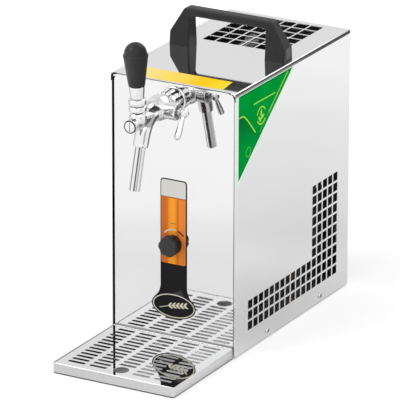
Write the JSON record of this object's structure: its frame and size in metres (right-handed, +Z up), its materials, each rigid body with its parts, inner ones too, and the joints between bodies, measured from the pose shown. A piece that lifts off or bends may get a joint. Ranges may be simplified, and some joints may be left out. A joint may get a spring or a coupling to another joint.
{
  "type": "draft beer dispenser",
  "caption": "Countertop draft beer cooler with a compensator tap, polished steel cabinet, thermostat knob, carry handle and a pull-off drip tray with lift-out grid.",
  "frame": {"origin": "on the counter, under the middle of the whole object's box", "axes": "+Z up, -Y to the front (the tap side), +X to the right as the user faces the tap"},
  "size_m": [0.1802, 0.465, 0.4255],
  "materials": {
    "mirror_steel": "mirror-polished stainless steel",
    "satin_steel": "satin stainless steel",
    "zinc_steel": "zinc-plated sheet steel",
    "painted_steel": "black powder coat",
    "black_paint": "black gloss paint",
    "chrome": "bright chrome plate",
    "aluminium": "mill-finish aluminium",
    "copper": "drawn copper",
    "rubber": "matt black rubber",
    "black_plastic": "fine-textured black plastic",
    "knob_plastic": "smooth black plastic",
    "white_plastic": "white moulded plastic",
    "foam": "rigid insulation foam",
    "clear_tube": "translucent food-grade tube"
  },
  "bodies": {
    "cabinet": {"top_cover": "mirror_steel", "left_side_panel": "mirror_steel", "right_side_panel": "mirror_steel", "front_panel": "mirror_steel", "front_gasket": "rubber", "rear_panel": "painted_steel", "base_pan": "zinc_steel", "foot_front_left": "rubber", "foot_front_right": "rubber", "foot_rear_left": "rubber", "foot_rear_right": "rubber", "case_screw_left_front": "chrome", "case_screw_left_rear": "chrome", "case_screw_right_front": "chrome", "case_screw_right_rear": "chrome", "carry_handle": "black_plastic", "handle_screw_left": "chrome", "handle_screw_right": "chrome", "tap_shank": "chrome", "tap_rosette": "chrome", "shank_nut": "chrome", "coupling_nut": "chrome", "tap_body": "chrome", "spout_tube": "chrome", "valve_cap": "chrome", "lever_pivot_pin": "chrome", "thermostat_housing": "white_plastic", "beer_inlet": "white_plastic", "cord_gland": "black_plastic", "switch_frame": "black_plastic", "compressor_mount_front_left": "rubber", "compressor_mount_front_right": "rubber", "compressor_mount_rear_left": "rubber", "compressor_mount_rear_right": "rubber", "compressor": "black_paint", "condenser": "aluminium", "fan_plate": "zinc_steel", "fan_motor": "black_paint", "relay_box": "black_plastic", "cooling_shelf": "zinc_steel", "block_insulation": "foam", "insulation_lid": "foam", "cooling_block": "aluminium", "beer_line_to_tap": "clear_tube", "beer_line_from_inlet": "clear_tube", "discharge_pipe": "copper", "suction_pipe": "copper", "filter_drier": "copper"},
    "tap_lever": {"lever_stem": "chrome", "lever_knob": "knob_plastic"},
    "tap_valve": {"valve_plunger": "chrome", "plunger_seal": "rubber"},
    "compensator": {"compensator_spindle": "chrome", "compensator_lever": "chrome"},
    "thermostat_dial": {"thermostat_knob": "knob_plastic", "thermostat_shaft": "chrome"},
    "tray": {"drip_tray": "satin_steel"},
    "grid": {"drip_grid": "mirror_steel"},
    "power_rocker": {"switch_rocker": "black_plastic"},
    "fan": {"fan_blades": "black_plastic"}
  },
  "joints": [
    {"name": "tap_lever_tilt", "type": "hinge", "parent": "cabinet", "child": "tap_lever", "pos_m": [0, -0.1685, 0.328], "axis": [1, 0, 0], "range_deg": [-15, 25]},
    {"name": "tap_valve_slide", "type": "slide", "parent": "cabinet", "child": "tap_valve", "axis": [0, 1, 0], "range_m": [-0.0018, 0.0029]},
    {"name": "compensator_turn", "type": "hinge", "parent": "cabinet", "child": "compensator", "pos_m": [0, -0.1191, 0.325], "axis": [1, 0, 0], "range_deg": [-90, 60]},
    {"name": "thermostat_turn", "type": "hinge", "parent": "cabinet", "child": "thermostat_dial", "pos_m": [0, -0.0805, 0.137], "axis": [0, 1, 0], "range_deg": [-150, 150]},
    {"name": "tray_pull", "type": "slide", "parent": "cabinet", "child": "tray", "axis": [0, -1, 0], "range_m": [0, 0.12]},
    {"name": "grid_lift", "type": "slide", "parent": "tray", "child": "grid", "axis": [0, 0, 1], "range_m": [0, 0.08]},
    {"name": "power_rocker_tilt", "type": "hinge", "parent": "cabinet", "child": "power_rocker", "pos_m": [0.052, 0.2141, 0.3], "axis": [1, 0, 0], "range_deg": [-22, 0]},
    {"name": "fan_spin", "type": "hinge", "parent": "cabinet", "child": "fan", "pos_m": [0, 0.15, 0.142], "axis": [0, 1, 0], "continuous": true}
  ],
  "couplings": [
    {"joint": "tap_valve_slide", "follows": "tap_lever_tilt", "m_per_rad": 0.0065}
  ]
}
